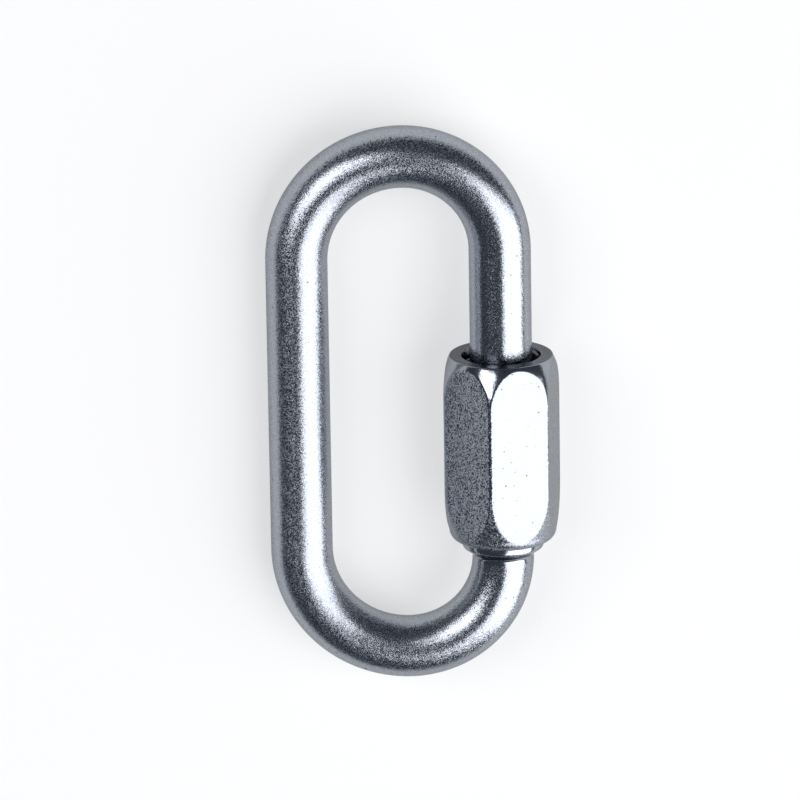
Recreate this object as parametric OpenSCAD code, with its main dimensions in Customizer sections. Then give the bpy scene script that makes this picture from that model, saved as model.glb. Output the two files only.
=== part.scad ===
// Chain quick link: a round bar bent into a long loop, with a gate in one arm that a hexagon
// sleeve nut closes. The loop lies on its side, on the plain arm and on one corner of the nut,
// with its length along Y and the nut on the +X side.

/* [Loop] */
// Diameter of the round bar
rod_d = 8; // [6:0.5:10]
// Clear length inside the loop, from bow to bow
inside_l = 58; // [54:0.5:80]
// Clear width inside the loop, from arm to arm
inside_w = 18.1; // [16:0.1:22]
// Inside radius of the two bends beside the gated arm, tighter than those beside the plain arm
gate_bend_r = 8.4; // [7:0.1:9]

/* [Threaded ends] */
// Extra diameter of the upset ends over the bar, at the pitch line of their thread
thread_upset = 1; // [0.6:0.1:2]
// Length of the thread on the lower end, above the collar
lower_thread_l = 5; // [3.5:0.5:7]
// Length of the thread on the upper end
upper_thread_l = 7.5; // [5:0.5:9]
// Gate between the two ends, open when the nut is run up
gate_gap = 10; // [7:0.5:12]
// Bevel on the tip of each end
tip_bevel = 0.6; // [0.2:0.1:1]
// Length of the taper from the upper thread to the bar
run_out_l = 0.6; // [0.3:0.1:1.2]

/* [Collar] */
// Height of the collar's foot above the lower bend
collar_rise = 0.4; // [0.1:0.1:3]
// Radial step from the thread out to the collar
collar_step = 0.8; // [0.4:0.05:1]
// Length of the collar's straight side
collar_side_l = 0.9; // [0.4:0.05:1.1]
// Length of the collar's coned underside, down to the bar
collar_under_l = 0.95; // [0.8:0.05:1.5]
// Bevel on the collar's seat edge
collar_bevel = 0.15; // [0.05:0.05:0.25]
// Gap between the collar and the closed nut
seat_gap = 0.05; // [0.02:0.01:0.2]

/* [Sleeve nut] */
// Radial clearance of the bore over the thread
thread_clearance = 0.05; // [0.02:0.01:0.1]
// Wall of the nut, from the bore to a flat
nut_wall = 2.35; // [2:0.05:3.5]
// Length of nut above the upper thread when the nut is closed
nut_cover_l = 2.3; // [1:0.1:4]
// Radius turned off the sharp corners of the hexagon
corner_trim = 0.09; // [0.02:0.01:0.4]
// Width from the rim of the upper face to the flats
crown_inset = 0.25; // [0.05:0.05:0.5]
// Length over which the corners round up to the upper face
crown_l = 5.4; // [2:0.1:6.5]
// Height of the foot's shoulder outside the flats
foot_shoulder = 0.05; // [0.02:0.01:0.2]
// Radius on the edge of the foot
foot_round = 1.35; // [0.6:0.05:1.5]
// Length over which the corners round down to the foot
foot_l = 7.3; // [4:0.1:9]
// Bevel on the upper mouth of the bore
upper_mouth_bevel = 0.6; // [0.2:0.1:1]
// Bevel on the lower mouth of the bore
lower_mouth_bevel = 0.2; // [0.1:0.05:0.4]
// Turn of the nut's upper flat away from level, as it lies
nut_turn = 11; // [0:0.5:30]

/* [Hidden] */
$fn = 96;

steel_colour = "#8e959f";
nut_colour = "#9aa1ab";
hex_sides = 6;
hex_half_angle = 180 / hex_sides;
cut_over = 1;
root_l = 1;

// Bar, arms and bends
rod_r = rod_d / 2;
root_r = rod_r / 2;
arm_x = (inside_w + rod_d) / 2;
tight_r = gate_bend_r + rod_r;
wide_r = 2 * arm_x - tight_r;
crest_x = arm_x - tight_r;
crest_y = (inside_l + rod_d) / 2;
gate_half_l = crest_y - tight_r;
plain_half_l = crest_y - wide_r;

// Threaded ends, collar and gate, as places along the gated arm
thread_r = rod_r + thread_upset / 2;
collar_r = thread_r + collar_step;
collar_foot_y = collar_rise - gate_half_l;
collar_y = collar_foot_y + collar_under_l;
seat_y = collar_y + collar_side_l;
nut_y = seat_y + seat_gap;
lower_tip_y = nut_y + lower_thread_l;
upper_tip_y = lower_tip_y + gate_gap;
upper_thread_y = upper_tip_y + upper_thread_l;

// Sleeve nut
nut_l = lower_thread_l + gate_gap + upper_thread_l + nut_cover_l;
bore_r = thread_r + thread_clearance;
flat_r = bore_r + nut_wall;
hex_r = flat_r / cos(hex_half_angle);
corner_r = hex_r - corner_trim;
crown_face_r = flat_r - crown_inset;
crown_rise = corner_r - crown_face_r;
foot_shoulder_r = flat_r + foot_shoulder;
foot_face_r = foot_shoulder_r - foot_round;
foot_arc_l = foot_l - foot_round;
foot_rise = corner_r - foot_shoulder_r;

// The way the link lies: the nut's lowest corner and the plain arm both touch the ground
corner_edge = acos(flat_r / corner_r);
nut_drop = corner_r * cos(max(0, corner_edge - nut_turn));
nut_reach = corner_r * cos(max(0, nut_turn + corner_edge - hex_half_angle));
lie_angle = asin((nut_drop - rod_r) / (2 * arm_x));
lie_x = (rod_r - nut_reach) / 2;
lie_z = rod_r + arm_x * sin(lie_angle);

// Places the upright loop as it lies, at the middle of the ground that it covers
module as_it_lies() {
    translate([lie_x, 0, lie_z])
        rotate([0, -lie_angle, 0])
            children();
}

// Turns a shape made about Z so that it runs along +Y, on the arm at x
module along_arm(x, y = 0) {
    translate([x, y, 0])
        rotate([-90, 0, 0])
            children();
}

// Quarter turn of bar about the crest's own X, from the start angle
module bend(y, r, start) {
    translate([crest_x, y, 0])
        rotate([0, 0, start])
            rotate_extrude(angle = 90)
                translate([r, 0])
                    circle(r = rod_r);
}

// Crest of a bow: a coned root in each of the two bends that meet there
module crest() {
    translate([crest_x, crest_y, 0])
        rotate([0, 90, 0])
            rotate_extrude()
                polygon([
                    [0, -root_l],
                    [root_r, -root_l],
                    [rod_r, 0],
                    [root_r, root_l],
                    [0, root_l]
                ]);
}

// Bow above the arms: a tight bend and a wide one, joined at the crest
module bow() {
    bend(gate_half_l, tight_r, 0);
    bend(plain_half_l, wide_r, 90);
    crest();
}

// Plain arm: straight bar with a coned root in the bend at each end
module plain_arm() {
    along_arm(-arm_x)
        rotate_extrude()
            polygon([
                [0, -plain_half_l - root_l],
                [root_r, -plain_half_l - root_l],
                [rod_r, -plain_half_l],
                [rod_r, plain_half_l],
                [root_r, plain_half_l + root_l],
                [0, plain_half_l + root_l]
            ]);
}

// Lower end: its root in the bend, a short stretch of bar, the coned collar, then the thread
module lower_end() {
    along_arm(arm_x)
        rotate_extrude()
            polygon([
                [0, -gate_half_l - root_l],
                [root_r, -gate_half_l - root_l],
                [rod_r, -gate_half_l],
                [rod_r, collar_foot_y],
                [collar_r, collar_y],
                [collar_r, seat_y - collar_bevel],
                [collar_r - collar_bevel, seat_y],
                [thread_r, seat_y],
                [thread_r, lower_tip_y - tip_bevel],
                [thread_r - tip_bevel, lower_tip_y],
                [0, lower_tip_y]
            ]);
}

// Upper end: the thread, then the taper to the bar that the nut slides over, and its root in the bend
module upper_end() {
    along_arm(arm_x)
        rotate_extrude()
            polygon([
                [0, upper_tip_y],
                [thread_r - tip_bevel, upper_tip_y],
                [thread_r, upper_tip_y + tip_bevel],
                [thread_r, upper_thread_y],
                [rod_r, upper_thread_y + run_out_l],
                [rod_r, gate_half_l],
                [root_r, gate_half_l + root_l],
                [0, gate_half_l + root_l]
            ]);
}

// One bar, bent cold, with both ends upset and the collar turned on the lower one
module link_body() {
    color(steel_colour)
        as_it_lies() {
            bow();
            mirror([0, 1, 0])
                bow();
            plain_arm();
            lower_end();
            upper_end();
        }
}

// Half section of a rounded end: an arc that leaves corner_r upright at y = 0 and draws in by rise over l
module end_arc(l, rise) {
    arc_r = (l * l + rise * rise) / (2 * rise);
    intersection() {
        square([corner_r + cut_over, l]);
        translate([corner_r - arc_r, 0])
            circle(r = arc_r);
    }
}

// Half section of the turned nut before the flats: round foot, plain middle and rounded crown
module nut_outline() {
    square([foot_face_r, foot_round]);
    translate([foot_face_r, foot_round])
        circle(r = foot_round);
    translate([0, foot_l])
        mirror([0, 1])
            end_arc(foot_arc_l, foot_rise);
    translate([0, foot_l])
        square([corner_r, nut_l - crown_l - foot_l]);
    translate([0, nut_l - crown_l])
        end_arc(crown_l, crown_rise);
}

// Half section of the bore with its two bevelled mouths
module bore_outline() {
    polygon([
        [0, -cut_over],
        [bore_r + lower_mouth_bevel + cut_over, -cut_over],
        [bore_r, lower_mouth_bevel],
        [bore_r, nut_l - upper_mouth_bevel],
        [bore_r + upper_mouth_bevel + cut_over, nut_l + cut_over],
        [0, nut_l + cut_over]
    ]);
}

// Hexagon bar, turned at both ends and bored through
module sleeve_nut() {
    color(nut_colour)
        as_it_lies()
            along_arm(arm_x, nut_y)
                difference() {
                    intersection() {
                        rotate_extrude()
                            nut_outline();
                        rotate([0, 0, nut_turn + lie_angle])
                            translate([0, 0, -cut_over])
                                cylinder(h = nut_l + 2 * cut_over, r = hex_r, $fn = hex_sides);
                    }
                    rotate_extrude()
                        bore_outline();
                }
}

link_body();
sleeve_nut();
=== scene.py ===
"""Looks of a chain quick link: a bent bar with a gate in one arm, and the sleeve nut over the gate."""

from collections import namedtuple
from math import acos, asin, cos, pi, radians, sin

import bpy
import numpy as np
from mathutils import Matrix, Vector


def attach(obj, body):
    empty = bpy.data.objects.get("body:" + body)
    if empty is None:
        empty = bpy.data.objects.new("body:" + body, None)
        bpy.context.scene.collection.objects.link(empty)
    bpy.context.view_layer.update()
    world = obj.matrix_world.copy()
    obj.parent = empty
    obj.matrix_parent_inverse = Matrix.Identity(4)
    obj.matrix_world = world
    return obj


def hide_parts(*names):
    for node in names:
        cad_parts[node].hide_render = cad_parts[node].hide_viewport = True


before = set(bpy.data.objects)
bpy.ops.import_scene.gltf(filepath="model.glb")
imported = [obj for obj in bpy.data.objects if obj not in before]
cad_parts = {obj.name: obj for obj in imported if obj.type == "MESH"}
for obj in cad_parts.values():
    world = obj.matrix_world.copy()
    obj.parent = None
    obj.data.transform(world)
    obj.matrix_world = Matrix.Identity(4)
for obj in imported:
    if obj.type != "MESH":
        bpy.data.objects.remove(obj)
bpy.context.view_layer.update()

MM = 0.001
QUARTER = pi / 2

# Loop, in millimetres like the sizes after it. The bends beside the gated arm are tighter than those
# beside the plain arm
ROD_R = 4.0
INSIDE_L = 58.0
INSIDE_W = 18.1
GATE_BEND_R = 8.4
ARM_X = INSIDE_W / 2 + ROD_R
TIGHT_R = GATE_BEND_R + ROD_R
WIDE_R = 2 * ARM_X - TIGHT_R
CREST_X = ARM_X - TIGHT_R
CREST_Y = INSIDE_L / 2 + ROD_R
GATE_HALF_L = CREST_Y - TIGHT_R
PLAIN_HALF_L = CREST_Y - WIDE_R

# Thread of both ends and of the nut, a 10 mm coarse one. Its flats are shares of half a pitch
PITCH = 1.5
MAJOR_R = 5.0
MINOR_R = 4.08
PITCH_LINE_R = 4.5
ROOT_FLAT = 0.17
CREST_FLAT = 0.13
THREAD_PLAY = 0.07
BORE_CREST_R = 4.2
LOWER_THREAD_L = 5.0
UPPER_THREAD_L = 7.5
GATE_GAP = 10.0
RUN_OUT_L = 0.6
RELIEF_L = 0.5
TIP_BEVEL = 0.6
TIP_FACE_R = PITCH_LINE_R - TIP_BEVEL

# Collar under the nut, and the places of both ends along the gated arm
COLLAR_RISE = 0.4
COLLAR_STEP = 0.8
COLLAR_R = PITCH_LINE_R + COLLAR_STEP
COLLAR_SIDE_L = 0.9
COLLAR_UNDER_L = 0.95
COLLAR_SEAT_ROUND = 0.15
COLLAR_SIDE_ROUND = 0.3
COLLAR_FOOT_ROUND = 0.7
SEAT_GAP = 0.05
COLLAR_FOOT_Y = COLLAR_RISE - GATE_HALF_L
COLLAR_Y = COLLAR_FOOT_Y + COLLAR_UNDER_L
SEAT_Y = COLLAR_Y + COLLAR_SIDE_L
NUT_Y = SEAT_Y + SEAT_GAP
LOWER_TIP_Y = NUT_Y + LOWER_THREAD_L
UPPER_TIP_Y = LOWER_TIP_Y + GATE_GAP
UPPER_THREAD_Y = UPPER_TIP_Y + UPPER_THREAD_L

# Sleeve nut. The rings that the tool left on its upper face are drawn coarser than real ones, or the
# render would lose them
HEX_SIDES = 6
HEX_HALF_ANGLE = pi / HEX_SIDES
NUT_COVER_L = 2.3
NUT_L = UPPER_THREAD_Y - NUT_Y + NUT_COVER_L
THREAD_CLEARANCE = 0.05
NUT_WALL = 2.35
CORNER_TRIM = 0.09
BORE_R = PITCH_LINE_R + THREAD_CLEARANCE
FLAT_R = BORE_R + NUT_WALL
CORNER_R = FLAT_R / cos(HEX_HALF_ANGLE) - CORNER_TRIM
CROWN_INSET = 0.25
CROWN_FACE_R = FLAT_R - CROWN_INSET
CROWN_L = 5.4
CROWN_Y = NUT_L - CROWN_L
FOOT_SHOULDER = 0.05
FOOT_SHOULDER_R = FLAT_R + FOOT_SHOULDER
FOOT_ROUND = 1.35
FOOT_FACE_R = FOOT_SHOULDER_R - FOOT_ROUND
FOOT_L = 7.3
UPPER_MOUTH_BEVEL = 0.6
UPPER_MOUTH_R = BORE_R + UPPER_MOUTH_BEVEL
UPPER_MOUTH_L = 1.6
LOWER_MOUTH_BEVEL = 0.2
LOWER_MOUTH_R = BORE_R + LOWER_MOUTH_BEVEL
NUT_TURN = radians(11)
EDGE_ROUND = 0.05
RIM_ROUND = 0.2
RING_START_R = CROWN_FACE_R - 2 * RIM_ROUND
TOOL_RING_PITCH = 0.45
TOOL_RING_DEPTH = 0.024

# Finish, as shares of full grain: less on the gated arm, from where it grows over a length of each bend,
# and little on the turned crown, which starts where its outline leaves the corners by the tolerance.
# What lies within the end face's depth of either end of the nut is painted shade: a darker, mottled
# colour that stands in for the shade those faces see
ARM_GRAIN = 0.65
FADE_L = 14.0
CROWN_GRAIN = 0.1
CORNER_TOLERANCE = 0.01
END_FACE_DEPTH = 0.05

# The way the link lies, on the plain arm and on the nut's lowest corner
CORNER_EDGE = acos(FLAT_R / CORNER_R)
NUT_DROP = CORNER_R * cos(max(0, CORNER_EDGE - NUT_TURN))
NUT_REACH = CORNER_R * cos(max(0, NUT_TURN + CORNER_EDGE - HEX_HALF_ANGLE))
LIE_ANGLE = asin((NUT_DROP - ROD_R) / (2 * ARM_X))
LIE = Matrix.Translation(Vector(((ROD_R - NUT_REACH) / 2, 0, ROD_R + ARM_X * sin(LIE_ANGLE))) * MM)
LIE = LIE @ Matrix.Rotation(-LIE_ANGLE, 4, "Y")

# Camera, as it stands to the upright loop: tilt, swing and roll in degrees, distance and reach in
# millimetres
CAMERA_TILT = 17.07
CAMERA_SWING = -0.46
CAMERA_ROLL = 0.91
CAMERA_AWAY = 1000.0
CAMERA_REACH = 20000.0
IMAGE_PX = 800
PX_PER_MM = 7.754
LINK_PX = (400.3, 403.5)
SENSOR_MM = 36.0

# Floor, a disc with its radius in metres
FLOOR_R = 3.0
FLOOR_SIDES = 96

# Zinc plate: sizes and depths of its marks in millimetres. A drawing line is long, so places along the
# bar are squeezed for it. A pit deepens over the range of its noise, and a crystal dulls over its own
PLATE_EDGE = "#c8c8c8"
# Painted shade: a darker colour, mottled between the next two, stands in for the shade on the nut's end
# faces and in its bore
PAINTED_SHADE_DARK = "#4c5057"
PAINTED_SHADE_LIGHT = "#7c8087"
PIT_COLOUR = "#3d4148"
PIT_MM = 0.5
PIT_RANGE = (0.74, 0.78)
DULL_RANGE = (0.3, 1.0)
CLOUD_MM = 2.4
CLOUD_DEPTH_MM = 0.03
LINE_DEPTH_MM = 0.008
LINE_SQUEEZE = (1, 1, 0.03)

# Sockets of a node that mixes colours, which share their names with others
MIX_SHARE = 0
MIX_FROM = 6
MIX_TO = 7
MIXED = 2

# Mesh steps: millimetres along the bar, the thread, the bore and the tool rings, and counts elsewhere. The
# rim's steps are those of the crown that give way to it
BAR_SIDES = 120
BAR_STEP = 0.5
THREAD_STEP = PITCH / 14
BORE_STEP = PITCH / 10
RING_STEP = TOOL_RING_PITCH / 12
ROUND_STEPS = 6
FLAT_STEPS = 40
ARC_STEPS = 44
FACE_STEPS = 5
FOOT_STEPS = 14
MIDDLE_STEPS = 14
RIM_STEPS = 3

# The bar from its upper tip, up the gated arm and round to its lower tip. A run turns about its pivot,
# or climbs along Y with it
Run = namedtuple("Run", "length turn reach pivot_x pivot_y climb")
BAR_RUNS = (
    Run(GATE_HALF_L - UPPER_TIP_Y, 0, ARM_X, 0, UPPER_TIP_Y, 1),
    Run(QUARTER * TIGHT_R, QUARTER, TIGHT_R, CREST_X, GATE_HALF_L, 0),
    Run(QUARTER * WIDE_R, QUARTER, WIDE_R, CREST_X, PLAIN_HALF_L, 0),
    Run(2 * PLAIN_HALF_L, 0, ARM_X, 0, PLAIN_HALF_L, -1),
    Run(QUARTER * WIDE_R, QUARTER, WIDE_R, CREST_X, -PLAIN_HALF_L, 0),
    Run(QUARTER * TIGHT_R, QUARTER, TIGHT_R, CREST_X, -GATE_HALF_L, 0),
    Run(GATE_HALF_L + LOWER_TIP_Y, 0, ARM_X, 0, -GATE_HALF_L, 1),
)


def linear(hex_colour):
    """Linear RGBA of an sRGB hex colour."""
    parts = [int(hex_colour[i:i + 2], 16) / 255 for i in (1, 3, 5)]
    return [p / 12.92 if p <= 0.04045 else ((p + 0.055) / 1.055) ** 2.4 for p in parts] + [1.0]


def add_node(tree, kind, inputs=None, **settings):
    """Adds a node with its settings. Each input takes a value, or a socket to link."""
    node = tree.nodes.new(kind)
    for name, value in settings.items():
        setattr(node, name, value)
    for name, value in (inputs or {}).items():
        if isinstance(value, bpy.types.NodeSocket):
            tree.links.new(value, node.inputs[name])
        else:
            node.inputs[name].default_value = value
    return node


def rounded(corners):
    """Outline through corners of (along, radius, round), each corner eased over its round on both sides."""
    points = [np.array(corners[0][:2])]
    for before, corner, after in zip(corners, corners[1:], corners[2:]):
        here = np.array(corner[:2])
        legs = [np.array(other[:2]) - here for other in (before, after)]
        ends = [here + leg * min(0.5, corner[2] / np.linalg.norm(leg)) for leg in legs]
        for t in np.linspace(0, 1, ROUND_STEPS + 1):
            points.append((1 - t) ** 2 * ends[0] + 2 * t * (1 - t) * here + t ** 2 * ends[1])
    points.append(np.array(corners[-1][:2]))
    return np.array(points)


def thread_radius(y, angle):
    """Radius of the ends' right-hand thread, at a place along the arm and an angle from +X to +Z."""
    turn = y / PITCH + angle / (2 * pi)
    wave = np.abs(2 * (turn - np.floor(turn)) - 1)
    flank = np.clip((wave - ROOT_FLAT) / (1 - ROOT_FLAT - CREST_FLAT), 0, 1)
    return MINOR_R + (MAJOR_R - MINOR_R) * flank


def skin(name, points, worked, finish_and_shade, ends_joined):
    """Mesh over a grid of rings in the upright loop's millimetres, laid down as the link lies.
    Each ring closes on itself. The first and last rings are joined, or each gets a flat cap.
    worked holds each point's place on the straight bar that the piece was made from. The array after
    it holds the share of the bar's own grain that is left there, of painted shade, a darker colour that
    stands in for shade, and of dull grain."""
    rows, sides = points.shape[:2]
    row = np.arange(rows if ends_joined else rows - 1)[:, None]
    side = np.arange(sides)[None, :]
    next_row = (row + 1) % rows
    next_side = (side + 1) % sides
    faces = np.stack([
        row * sides + side,
        row * sides + next_side,
        next_row * sides + next_side,
        next_row * sides + side,
    ], axis=-1).reshape(-1, 4).tolist()
    smooth = [True] * len(faces)
    if not ends_joined:
        faces.append(list(range(sides))[::-1])
        faces.append(list(range((rows - 1) * sides, rows * sides)))
        smooth += [False, False]
    mesh = bpy.data.meshes.new(name)
    mesh.from_pydata((points.reshape(-1, 3) * MM).tolist(), [], faces)
    mesh.transform(LIE)
    mesh.polygons.foreach_set("use_smooth", smooth)
    for label, values in (("worked_mm", worked), ("finish_and_shade", finish_and_shade)):
        made = mesh.attributes.new(label, "FLOAT_VECTOR", "POINT")
        made.data.foreach_set("vector", values.astype(np.float32).ravel())
    mesh.update()
    piece = bpy.data.objects.new(name, mesh)
    bpy.context.scene.collection.objects.link(piece)
    return piece


def bar_path(along):
    """Centre of the bar at each place along it, and the direction there that faces out of the loop."""
    starts = np.cumsum([0] + [run.length for run in BAR_RUNS[:-1]])
    turned = np.cumsum([0] + [run.turn for run in BAR_RUNS[:-1]])
    number = np.searchsorted(starts, along, "right") - 1
    length, turn, reach, pivot_x, pivot_y, climb = np.array(BAR_RUNS).T[:, number]
    into = along - starts[number]
    angle = turned[number] + turn * into / length
    out = np.stack([np.cos(angle), np.sin(angle), np.zeros_like(angle)], axis=-1)
    centre = reach[:, None] * out
    centre[:, 0] += pivot_x
    centre[:, 1] += pivot_y + climb * into
    return centre, out


def upper_end(angle):
    """Rings of the upper end, as places along the arm and radii: bevelled tip, thread, and run-out to
    the bar."""
    y = np.arange(UPPER_TIP_Y, UPPER_THREAD_Y + RUN_OUT_L, THREAD_STEP)[:, None]
    fade = np.clip((UPPER_THREAD_Y + RUN_OUT_L - y) / RUN_OUT_L, 0, 1)
    radius = ROD_R + (thread_radius(y, angle) - ROD_R) * fade
    return y[:, 0], np.minimum(radius, TIP_FACE_R + y - UPPER_TIP_Y)


def lower_end(angle):
    """Rings of the lower end above the collar: relief groove, thread and bevelled tip."""
    y = np.arange(LOWER_TIP_Y, SEAT_Y, -THREAD_STEP)[::-1, None]
    fade = np.clip((y - SEAT_Y) / RELIEF_L - 1, 0, 1)
    radius = MINOR_R + (thread_radius(y, angle) - MINOR_R) * fade
    return y[:, 0], np.minimum(radius, TIP_FACE_R + LOWER_TIP_Y - y)


def bar_with_collar():
    """The bar: threaded upper end, plain loop, collar and threaded lower end, as one skin."""
    angle = np.linspace(0, 2 * pi, BAR_SIDES, endpoint=False)
    upper_y, upper_r = upper_end(angle)
    lower_y, lower_r = lower_end(angle)
    collar = rounded([
        (COLLAR_FOOT_Y - COLLAR_FOOT_ROUND, ROD_R, 0),
        (COLLAR_FOOT_Y, ROD_R, COLLAR_FOOT_ROUND),
        (COLLAR_Y, COLLAR_R, COLLAR_SIDE_ROUND),
        (SEAT_Y, COLLAR_R, COLLAR_SEAT_ROUND),
        (SEAT_Y, MINOR_R, 0),
    ])

    # Places along the bar from its upper tip. On the last run they are lower_start ahead of Y
    lower_start = sum(run.length for run in BAR_RUNS) - LOWER_TIP_Y
    plain = np.arange(UPPER_THREAD_Y + RUN_OUT_L - UPPER_TIP_Y, lower_start + collar[0, 0], BAR_STEP)
    along = np.concatenate([
        upper_y - UPPER_TIP_Y,
        plain,
        lower_start + collar[:, 0],
        lower_start + lower_y,
    ])
    radius = np.concatenate([
        upper_r,
        np.full((len(plain), BAR_SIDES), ROD_R),
        collar[:, 1:] * np.ones(BAR_SIDES),
        lower_r,
    ])[..., None]

    centre, out = bar_path(along)
    across = radius * np.stack([np.cos(angle), np.sin(angle)], axis=-1)
    points = centre[:, None] + across[..., :1] * out[:, None] + across[..., 1:] * np.array([0, 0, 1.0])
    straight = np.broadcast_to(along[:, None, None], radius.shape)
    worked = np.concatenate([across, straight], axis=-1)

    finish_and_shade = np.zeros_like(points)
    arm_end = GATE_HALF_L - UPPER_TIP_Y
    arm_start = lower_start - GATE_HALF_L
    grain = np.interp(
        plain, [arm_end, arm_end + FADE_L, arm_start - FADE_L, arm_start], [ARM_GRAIN, 1, 1, ARM_GRAIN],
    )
    plated = slice(len(upper_y), len(upper_y) + len(plain))
    finish_and_shade[plated, :, 0] = grain[:, None]
    finish_and_shade[plated, :, 2] = grain[:, None]
    return skin("bar_with_collar", points, worked, finish_and_shade, ends_joined=False)


def smooth_min(a, b, ease):
    """The lesser of a and b, with the crease between them eased."""
    share = np.clip(0.5 + (b - a) / (2 * ease), 0, 1)
    return b + (a - b) * share - ease * share * (1 - share)


def end_arc(rise, length):
    """Arc that leaves the corners' radius upright at 0 and draws in by rise over length."""
    arc_r = (length ** 2 + rise ** 2) / (2 * rise)
    along = np.linspace(0, length, ARC_STEPS)
    return along, CORNER_R - arc_r + np.sqrt(arc_r ** 2 - along ** 2)


def sleeve_outline():
    """The nut as it was turned, as places along it and radii: foot face, round foot, middle, crown, and
    upper face with its tool rings. The upper mouth of the bore comes apart from them."""
    foot_face = np.linspace(LOWER_MOUTH_R, FOOT_FACE_R, FACE_STEPS + 1)[:-1]
    quarter = np.linspace(-QUARTER, 0, FOOT_STEPS)
    foot_round_y = FOOT_ROUND + FOOT_ROUND * np.sin(quarter)
    foot_round_r = FOOT_FACE_R + FOOT_ROUND * np.cos(quarter)
    foot_y, foot_r = end_arc(CORNER_R - FOOT_SHOULDER_R, FOOT_L - FOOT_ROUND)
    middle_y = np.linspace(FOOT_L, CROWN_Y, MIDDLE_STEPS)[1:-1]
    crown_y, crown_r = end_arc(CORNER_R - CROWN_FACE_R, CROWN_L)
    crown = np.column_stack([crown_y + CROWN_Y, crown_r])
    rim = rounded([
        (*crown[-RIM_STEPS], 0),
        (NUT_L, CROWN_FACE_R, RIM_ROUND),
        (NUT_L, RING_START_R, 0),
    ])
    ring_r = np.arange(RING_START_R, UPPER_MOUTH_R + RIM_ROUND, -RING_STEP)[1:]
    ring_turn = 2 * pi * (RING_START_R - ring_r) / TOOL_RING_PITCH
    ring_y = NUT_L - TOOL_RING_DEPTH / 2 * (1 - np.cos(ring_turn))
    upper_mouth = rounded([
        (NUT_L, UPPER_MOUTH_R + RIM_ROUND, 0),
        (NUT_L, UPPER_MOUTH_R, RIM_ROUND),
        (NUT_L - UPPER_MOUTH_L, BORE_R, 0),
    ])[:-1]
    outline = np.concatenate([
        np.column_stack([np.zeros(FACE_STEPS), foot_face]),
        np.column_stack([foot_round_y, foot_round_r]),
        np.column_stack([FOOT_L - foot_y[::-1], foot_r[::-1]])[1:],
        np.column_stack([middle_y, np.full(len(middle_y), CORNER_R)]),
        crown[:-RIM_STEPS],
        rim,
        np.column_stack([ring_y, ring_r]),
    ])
    return outline, upper_mouth


def sleeve_bore(angle):
    """Rings of the nut's bore from the top down, as places along it and radii: thread and two mouths."""
    y = np.arange(NUT_L - 2 * RIM_ROUND, 0, -BORE_STEP)[:, None]
    radius = np.maximum(thread_radius(y + NUT_Y, angle) + THREAD_PLAY, BORE_CREST_R)
    radius = np.maximum(radius, UPPER_MOUTH_R - UPPER_MOUTH_BEVEL * (NUT_L - y) / UPPER_MOUTH_L)
    return y[:, 0], np.maximum(radius, LOWER_MOUTH_R - y)


def hex_sleeve():
    """The sleeve nut: hexagon with a round foot and a rounded crown, and a threaded bore."""
    face_angle = QUARTER - NUT_TURN - LIE_ANGLE
    spread = np.sin(np.linspace(-QUARTER, QUARTER, FLAT_STEPS, endpoint=False)) * HEX_HALF_ANGLE
    flats = np.arange(HEX_SIDES) * 2 * HEX_HALF_ANGLE + face_angle
    angle = (flats[:, None] + spread[None, :]).ravel()
    hexagon = np.tile(FLAT_R / np.cos(spread), HEX_SIDES)

    turned, upper_mouth = sleeve_outline()
    outline_y, outline_r = np.concatenate([turned, upper_mouth]).T[..., None]
    outside = smooth_min(outline_r, hexagon, EDGE_ROUND)
    bore_y, bore_r = sleeve_bore(angle)
    along = np.concatenate([outline_y[:, 0], bore_y])
    radius = np.concatenate([outside, bore_r])[..., None]
    across = radius * np.stack([np.cos(angle), np.sin(angle)], axis=-1)
    tall = np.broadcast_to(along[:, None, None], radius.shape)
    points = np.concatenate([across[..., :1] + ARM_X, tall + NUT_Y, across[..., 1:]], axis=-1)
    worked = np.concatenate([across, tall], axis=-1)

    finish_and_shade = np.zeros_like(points)
    flat = np.clip((outline_r - hexagon) / EDGE_ROUND, 0, 1)
    on_crown = (outline_y > CROWN_Y) & (CORNER_R - outline_r >= CORNER_TOLERANCE)
    # Painted shade: the nut's end faces take a darker colour that stands in for the shade they see
    shaded_end_face = (outline_y > NUT_L - END_FACE_DEPTH) | (outline_y < END_FACE_DEPTH)
    finish_and_shade[:len(outside), :, 0] = np.maximum(flat, np.where(on_crown, CROWN_GRAIN, 1))
    finish_and_shade[:len(outside), :, 1] = shaded_end_face
    finish_and_shade[:len(outside), :, 2] = (1 - flat) * (outline_y < FOOT_L)
    # Painted shade: the bore and its upper mouth take the same darker colour, for the shade inside them
    finish_and_shade[len(turned):, :, 1] = 1
    return skin("hex_sleeve", points, worked, finish_and_shade, ends_joined=True)


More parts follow.
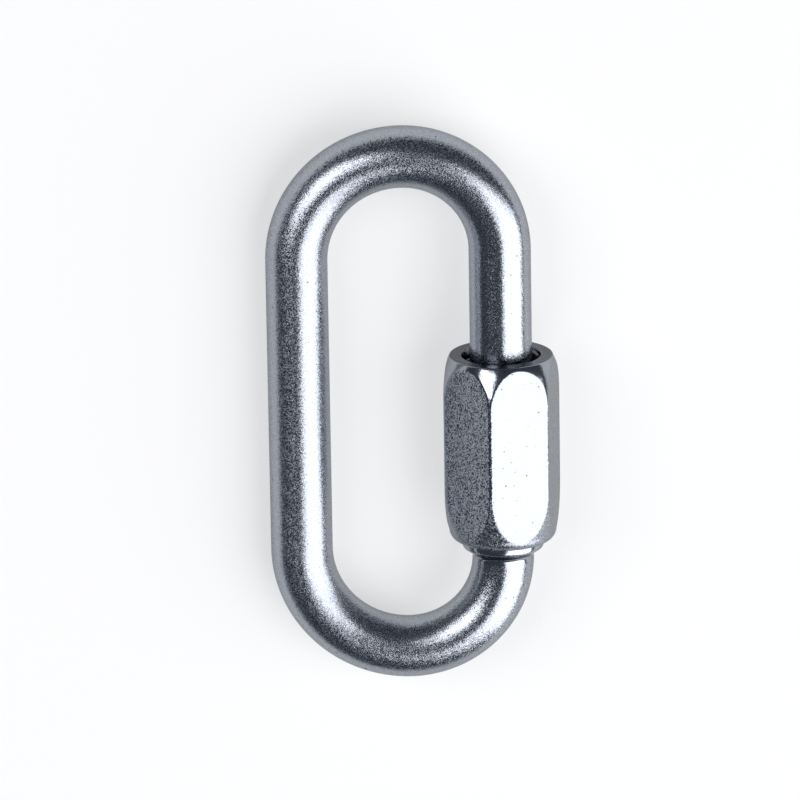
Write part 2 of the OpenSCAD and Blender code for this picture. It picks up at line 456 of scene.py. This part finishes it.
def zinc_plate(name, dull, bright, line_mm, grain_mm, grain_depth_mm, crystal_tilt, roughness):
    """Zinc plate over worked steel: a cool grey mirror with a fine grain, which breaks the edge of each
    lamp's reflection into bright and dark grit. Turned places are smooth, and shaded faces get painted
    shade, a darker mottled colour that stands in for the shade they see. Faint lines run along the bar,
    with a few dark pits. The grain is drawn two to three times as coarse as the real one, or the render
    would lose it. roughness holds that of bright grain and of dull grain."""
    material = bpy.data.materials.new(name)
    material.use_nodes = True
    tree = material.node_tree
    tree.nodes.clear()
    place = add_node(tree, "ShaderNodeAttribute", attribute_name="worked_mm").outputs["Vector"]
    finish_and_shade = add_node(tree, "ShaderNodeAttribute", attribute_name="finish_and_shade").outputs["Vector"]
    finish_and_shade = add_node(tree, "ShaderNodeSeparateXYZ", {0: finish_and_shade}).outputs
    crystal = add_node(tree, "ShaderNodeTexVoronoi", {
        "Vector": place, "Scale": 1 / grain_mm,
    }).outputs["Color"]

    # Colour: each crystal has its own tone, painted shade darkens and mottles the shaded faces, and pits
    # are darkest
    tone = add_node(tree, "ShaderNodeMix", {
        MIX_SHARE: crystal, MIX_FROM: linear(dull), MIX_TO: linear(bright),
    }, data_type="RGBA")
    # Painted shade: a darker mottled tone stands in for the shade on the nut's end faces and in its bore
    painted_shade_tone = add_node(tree, "ShaderNodeMix", {
        MIX_SHARE: crystal, MIX_FROM: linear(PAINTED_SHADE_DARK), MIX_TO: linear(PAINTED_SHADE_LIGHT),
    }, data_type="RGBA")
    shaded_tone = add_node(tree, "ShaderNodeMix", {
        MIX_SHARE: finish_and_shade["Y"], MIX_FROM: tone.outputs[MIXED], MIX_TO: painted_shade_tone.outputs[MIXED],
    }, data_type="RGBA")
    pit = add_node(tree, "ShaderNodeTexNoise", {"Vector": place, "Scale": 1 / PIT_MM, "Detail": 1.0})
    pitted = add_node(tree, "ShaderNodeMapRange", {
        "Value": pit.outputs["Fac"], "From Min": PIT_RANGE[0], "From Max": PIT_RANGE[1],
    })
    colour = add_node(tree, "ShaderNodeMix", {
        MIX_SHARE: pitted.outputs["Result"], MIX_FROM: shaded_tone.outputs[MIXED], MIX_TO: linear(PIT_COLOUR),
    }, data_type="RGBA")

    # Gloss: some crystals are dull
    crystal_parts = add_node(tree, "ShaderNodeSeparateXYZ", {0: crystal}).outputs
    dulled = add_node(tree, "ShaderNodeMath", {
        0: crystal_parts["Y"], 1: finish_and_shade["Z"],
    }, operation="MULTIPLY")
    gloss = add_node(tree, "ShaderNodeMapRange", {
        "Value": dulled.outputs[0], "From Min": DULL_RANGE[0], "From Max": DULL_RANGE[1],
        "To Min": roughness[0], "To Max": roughness[1],
    })

    # Relief: low waves, drawing lines along the bar, then the grain and the tilt of each crystal
    cloud = add_node(tree, "ShaderNodeTexNoise", {"Vector": place, "Scale": 1 / CLOUD_MM, "Detail": 3.0})
    wave = add_node(tree, "ShaderNodeBump", {
        "Height": cloud.outputs["Fac"], "Distance": CLOUD_DEPTH_MM * MM,
    })
    drawn = add_node(tree, "ShaderNodeVectorMath", {0: place, 1: LINE_SQUEEZE}, operation="MULTIPLY")
    lines = add_node(tree, "ShaderNodeTexNoise", {
        "Vector": drawn.outputs["Vector"], "Scale": 1 / line_mm, "Detail": 2.0,
    })
    scored = add_node(tree, "ShaderNodeBump", {
        "Height": lines.outputs["Fac"], "Distance": LINE_DEPTH_MM * MM, "Normal": wave.outputs["Normal"],
    })
    grain = add_node(tree, "ShaderNodeTexNoise", {"Vector": place, "Scale": 1 / grain_mm, "Detail": 1.0})
    grained = add_node(tree, "ShaderNodeBump", {
        "Strength": finish_and_shade["X"], "Height": grain.outputs["Fac"], "Distance": grain_depth_mm * MM,
        "Normal": scored.outputs["Normal"],
    })
    lean = add_node(tree, "ShaderNodeVectorMath", {
        0: crystal, 1: [2 * crystal_tilt] * 3, 2: [-crystal_tilt] * 3,
    }, operation="MULTIPLY_ADD")
    lean_left = add_node(tree, "ShaderNodeVectorMath", {
        0: lean.outputs["Vector"], 1: finish_and_shade["X"],
    }, operation="MULTIPLY")
    tilted = add_node(tree, "ShaderNodeVectorMath", {
        0: grained.outputs["Normal"], 1: lean_left.outputs["Vector"],
    }, operation="ADD")
    facing = add_node(tree, "ShaderNodeVectorMath", {0: tilted.outputs["Vector"]}, operation="NORMALIZE")

    shader = add_node(tree, "ShaderNodeBsdfPrincipled", {
        "Base Color": colour.outputs[MIXED], "Metallic": 1.0, "Roughness": gloss.outputs["Result"],
        "Specular Tint": linear(PLATE_EDGE), "Normal": facing.outputs["Vector"],
    })
    add_node(tree, "ShaderNodeOutputMaterial", {"Surface": shader.outputs["BSDF"]})
    return material


def pale_floor(colour, glow):
    """Plain pale floor of matt white card, which holds the link's shadow. Where it is seen, straight or in
    the plating, a share of it is plain white, so that the ground stays pale and the shadow light."""
    bpy.ops.mesh.primitive_circle_add(vertices=FLOOR_SIDES, radius=FLOOR_R, fill_type="NGON")
    floor = bpy.context.object
    floor.name = "floor"
    material = bpy.data.materials.new("matt_white_card")
    material.use_nodes = True
    tree = material.node_tree
    tree.nodes.clear()
    rays = add_node(tree, "ShaderNodeLightPath").outputs
    mirrored = add_node(tree, "ShaderNodeMath", {
        0: rays["Is Camera Ray"], 1: rays["Is Glossy Ray"],
    }, operation="ADD")
    seen = add_node(tree, "ShaderNodeMath", {
        0: mirrored.outputs[0], 1: rays["Is Transmission Ray"],
    }, operation="ADD")
    share = add_node(tree, "ShaderNodeMath", {0: seen.outputs[0], 1: glow}, operation="MULTIPLY")
    matt = add_node(tree, "ShaderNodeBsdfDiffuse", {"Color": linear(colour)})
    white = add_node(tree, "ShaderNodeEmission")
    card = add_node(tree, "ShaderNodeMixShader", {
        0: share.outputs[0], 1: matt.outputs[0], 2: white.outputs[0],
    })
    add_node(tree, "ShaderNodeOutputMaterial", {"Surface": card.outputs[0]})
    floor.data.materials.append(material)


def softbox(name, azimuth, elevation, away, width, height, twist, radiance):
    """Flat lamp that faces the link. Angles in degrees, lengths in metres, radiance as a share of white."""
    lamp = bpy.data.lights.new(name, "AREA")
    lamp.shape = "RECTANGLE"
    lamp.size = width
    lamp.size_y = height
    lamp.energy = radiance * pi * width * height
    box = bpy.data.objects.new(name, lamp)
    round_link = radians(azimuth)
    up = radians(elevation)
    towards = Vector((cos(up) * cos(round_link), cos(up) * sin(round_link), sin(up)))
    facing = towards.to_track_quat("Z", "Y").to_matrix().to_4x4()
    twisted = Matrix.Rotation(radians(twist), 4, "Z")
    box.matrix_world = Matrix.Translation(towards * away) @ facing @ twisted
    box.visible_camera = False
    bpy.context.scene.collection.objects.link(box)


def dim_room(colour):
    """Plain dim studio round the floor."""
    world = bpy.data.worlds.new("dim_studio")
    world.use_nodes = True
    world.node_tree.nodes["Background"].inputs["Color"].default_value = linear(colour)
    bpy.context.scene.world = world


def photo_camera():
    """Camera over the link, at the photograph's angle and scale."""
    turn = Matrix.Rotation(radians(CAMERA_ROLL), 3, "Z")
    turn = turn @ Matrix.Rotation(radians(CAMERA_TILT), 3, "X")
    turn = turn @ Matrix.Rotation(radians(CAMERA_SWING), 3, "Y")
    right, up, back = turn
    off_right = (IMAGE_PX / 2 - LINK_PX[0]) / PX_PER_MM
    off_up = (LINK_PX[1] - IMAGE_PX / 2) / PX_PER_MM
    stand = (back * CAMERA_AWAY + right * off_right + up * off_up) * MM
    data = bpy.data.cameras.new("photo_camera")
    data.sensor_width = SENSOR_MM
    data.lens = SENSOR_MM * PX_PER_MM * CAMERA_AWAY / IMAGE_PX
    data.clip_end = CAMERA_REACH * MM
    camera = bpy.data.objects.new("photo_camera", data)
    camera.matrix_world = LIE @ Matrix.Translation(stand) @ turn.transposed().to_4x4()
    bpy.context.scene.collection.objects.link(camera)
    bpy.context.scene.camera = camera


bpy.context.scene.view_settings.view_transform = "Standard"
photo_camera()
dim_room("#464c58")
pale_floor("#eeeeee", glow=0.55)
softbox(
    "right_softbox", azimuth=-27, elevation=45.0, away=1.6,
    width=2.15, height=2.25, twist=7.8, radiance=3.0,
)
softbox(
    "left_softbox", azimuth=156, elevation=48.8, away=1.6,
    width=0.92, height=0.92, twist=8, radiance=4.0,
)

# The bar was drawn, then bent: its grain runs from bright to dull all round the loop
bar_zinc = zinc_plate(
    "zinc_plate_on_drawn_bar", dull="#878c94", bright="#b6bbc3", line_mm=0.5,
    grain_mm=0.11, grain_depth_mm=0.014, crystal_tilt=0.07, roughness=(0.16, 0.42),
)
# The nut was turned from hexagon bar: its flats keep an even, sharper grit, and only its foot is dull
nut_zinc = zinc_plate(
    "zinc_plate_on_hexagon_bar", dull="#959aa2", bright="#a0a5ad", line_mm=0.35,
    grain_mm=0.15, grain_depth_mm=0.02, crystal_tilt=0.12, roughness=(0.15, 0.6),
)

bar = bar_with_collar()
bar.data.materials.append(bar_zinc)
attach(bar, "link")
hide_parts("link_body")

sleeve = hex_sleeve()
sleeve.data.materials.append(nut_zinc)
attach(sleeve, "nut")
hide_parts("sleeve_nut")
